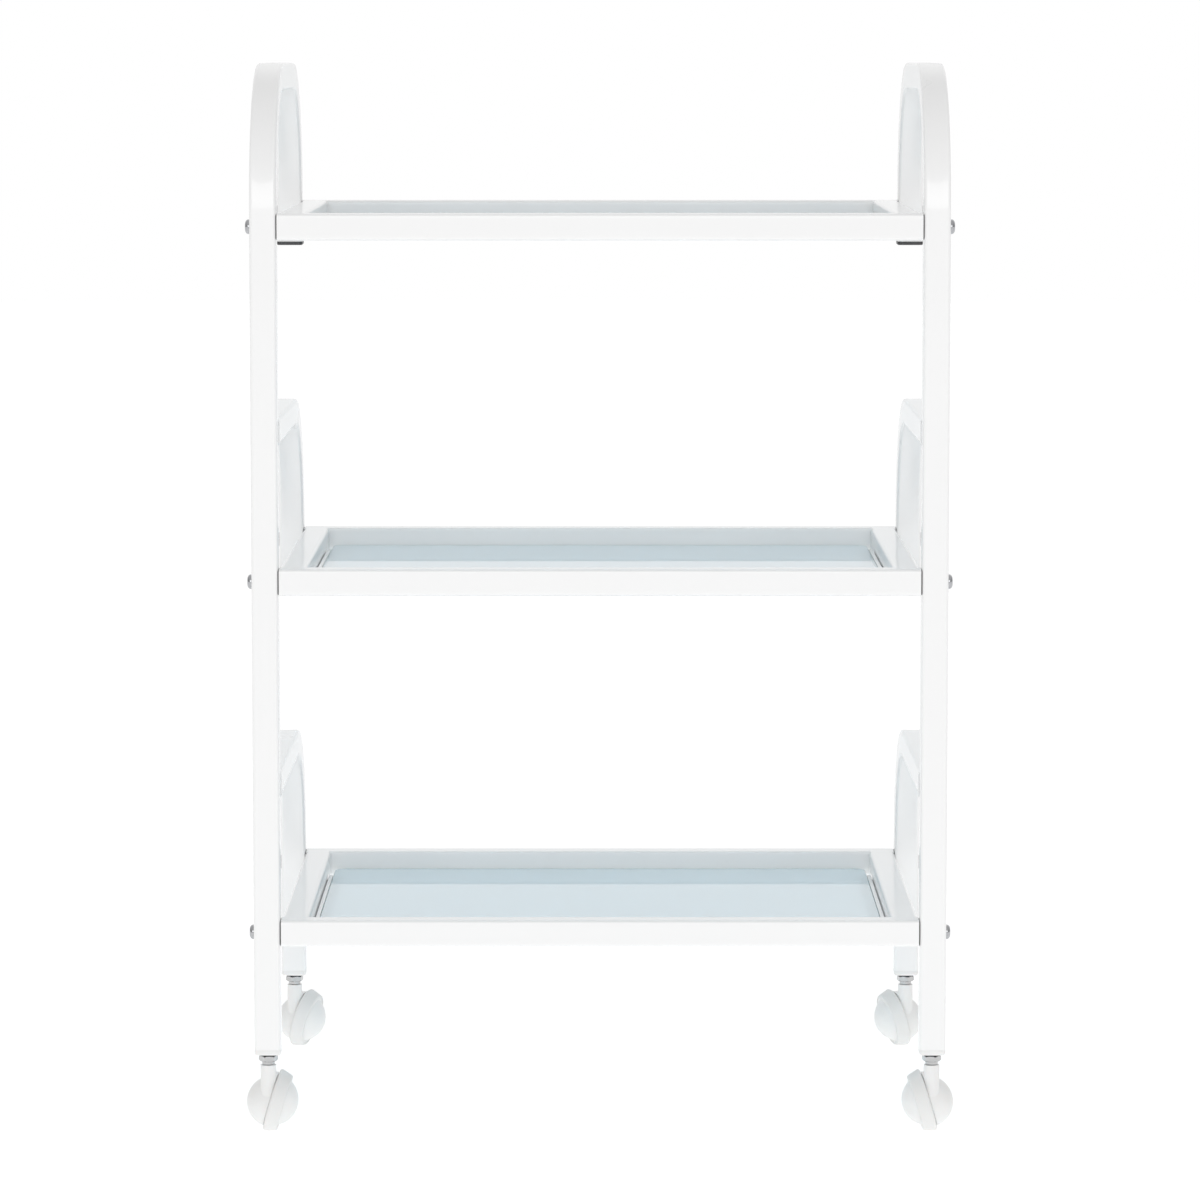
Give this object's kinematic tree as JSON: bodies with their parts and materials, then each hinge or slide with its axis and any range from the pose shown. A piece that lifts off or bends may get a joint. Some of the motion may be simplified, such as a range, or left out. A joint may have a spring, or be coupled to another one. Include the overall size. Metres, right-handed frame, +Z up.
{
  "type": "spa trolley cart",
  "caption": "White square-tube trolley with stacked glass shelves, arched side handles and swivelling ball casters",
  "frame": {"origin": "middle of the whole outline, casters included, on the floor", "axes": "+Z up, -Y the front, +X to the right seen from the front"},
  "size_m": [0.5656, 0.4174, 0.85],
  "materials": {
    "white_powder_coat": "gloss white powder coat",
    "glass": "clear float glass with a blue-green tint and seamed edges",
    "chrome": "bright chrome-plated button heads",
    "zinc": "bright zinc-plated steel",
    "black_plastic": "black moulded plastic",
    "white_plastic": "white moulded nylon, satin",
    "white_tyre": "white non-marking thermoplastic rubber"
  },
  "bodies": {
    "frame": {"bottom_frame_bolts": "chrome", "bottom_front_rail": "white_powder_coat", "bottom_left_glass_ledge": "white_powder_coat", "bottom_left_side_rail": "white_powder_coat", "bottom_rail_inserts": "black_plastic", "bottom_rear_rail": "white_powder_coat", "bottom_right_glass_ledge": "white_powder_coat", "bottom_right_side_rail": "white_powder_coat", "caster_lock_nuts": "zinc", "caster_stems": "zinc", "foot_inserts": "white_plastic", "left_bottom_arch": "white_powder_coat", "left_handle_tube": "white_powder_coat", "left_middle_arch": "white_powder_coat", "left_middle_end_cap": "black_plastic", "left_top_end_cap": "black_plastic", "middle_frame_bolts": "chrome", "middle_front_rail": "white_powder_coat", "middle_left_glass_ledge": "white_powder_coat", "middle_left_side_rail": "white_powder_coat", "middle_rail_inserts": "black_plastic", "middle_rear_rail": "white_powder_coat", "middle_right_glass_ledge": "white_powder_coat", "middle_right_side_rail": "white_powder_coat", "right_bottom_arch": "white_powder_coat", "right_handle_tube": "white_powder_coat", "right_middle_arch": "white_powder_coat", "right_middle_end_cap": "black_plastic", "right_top_end_cap": "black_plastic", "top_frame_bolts": "chrome", "top_front_rail": "white_powder_coat", "top_left_glass_ledge": "white_powder_coat", "top_left_side_rail": "white_powder_coat", "top_rail_inserts": "black_plastic", "top_rear_rail": "white_powder_coat", "top_right_glass_ledge": "white_powder_coat", "top_right_side_rail": "white_powder_coat"},
    "front_left_caster": {"front_left_hood": "white_plastic", "front_left_axle": "zinc"},
    "front_left_wheel": {"front_left_wheel_hub": "white_plastic", "front_left_tyre": "white_tyre"},
    "front_right_caster": {"front_right_hood": "white_plastic", "front_right_axle": "zinc"},
    "front_right_wheel": {"front_right_wheel_hub": "white_plastic", "front_right_tyre": "white_tyre"},
    "rear_left_caster": {"rear_left_hood": "white_plastic", "rear_left_axle": "zinc"},
    "rear_left_wheel": {"rear_left_wheel_hub": "white_plastic", "rear_left_tyre": "white_tyre"},
    "rear_right_caster": {"rear_right_hood": "white_plastic", "rear_right_axle": "zinc"},
    "rear_right_wheel": {"rear_right_wheel_hub": "white_plastic", "rear_right_tyre": "white_tyre"},
    "top_glass_panel": {"top_glass": "glass"},
    "middle_glass_panel": {"middle_glass": "glass"},
    "bottom_glass_panel": {"bottom_glass": "glass"}
  },
  "joints": [
    {"name": "front_left_swivel", "type": "hinge", "parent": "frame", "child": "front_left_caster", "pos_m": [-0.2645, -0.19633, 0.06], "axis": [0, 0, 1], "continuous": true},
    {"name": "front_left_roll", "type": "hinge", "parent": "front_left_caster", "child": "front_left_wheel", "pos_m": [-0.26205, -0.18341, 0.02469], "axis": [0.9582, -0.0335, -0.284], "continuous": true},
    {"name": "front_right_swivel", "type": "hinge", "parent": "frame", "child": "front_right_caster", "pos_m": [0.2645, -0.19633, 0.06], "axis": [0, 0, 1], "continuous": true},
    {"name": "front_right_roll", "type": "hinge", "parent": "front_right_caster", "child": "front_right_wheel", "pos_m": [0.26205, -0.18341, 0.02469], "axis": [-0.9582, -0.0335, -0.284], "continuous": true},
    {"name": "rear_left_swivel", "type": "hinge", "parent": "frame", "child": "rear_left_caster", "pos_m": [-0.2645, 0.17267, 0.06], "axis": [0, 0, 1], "continuous": true},
    {"name": "rear_left_roll", "type": "hinge", "parent": "rear_left_caster", "child": "rear_left_wheel", "pos_m": [-0.25899, 0.18461, 0.02469], "axis": [0.9217, -0.2643, -0.284], "continuous": true},
    {"name": "rear_right_swivel", "type": "hinge", "parent": "frame", "child": "rear_right_caster", "pos_m": [0.2645, 0.17267, 0.06], "axis": [0, 0, 1], "continuous": true},
    {"name": "rear_right_roll", "type": "hinge", "parent": "rear_right_caster", "child": "rear_right_wheel", "pos_m": [0.25899, 0.18461, 0.02469], "axis": [-0.9217, -0.2643, -0.284], "continuous": true},
    {"name": "top_glass_lift", "type": "slide", "parent": "frame", "child": "top_glass_panel", "axis": [0, 0, 1], "range_m": [0, 0.04]},
    {"name": "middle_glass_lift", "type": "slide", "parent": "frame", "child": "middle_glass_panel", "axis": [0, 0, 1], "range_m": [0, 0.04]},
    {"name": "bottom_glass_lift", "type": "slide", "parent": "frame", "child": "bottom_glass_panel", "axis": [0, 0, 1], "range_m": [0, 0.04]}
  ]
}
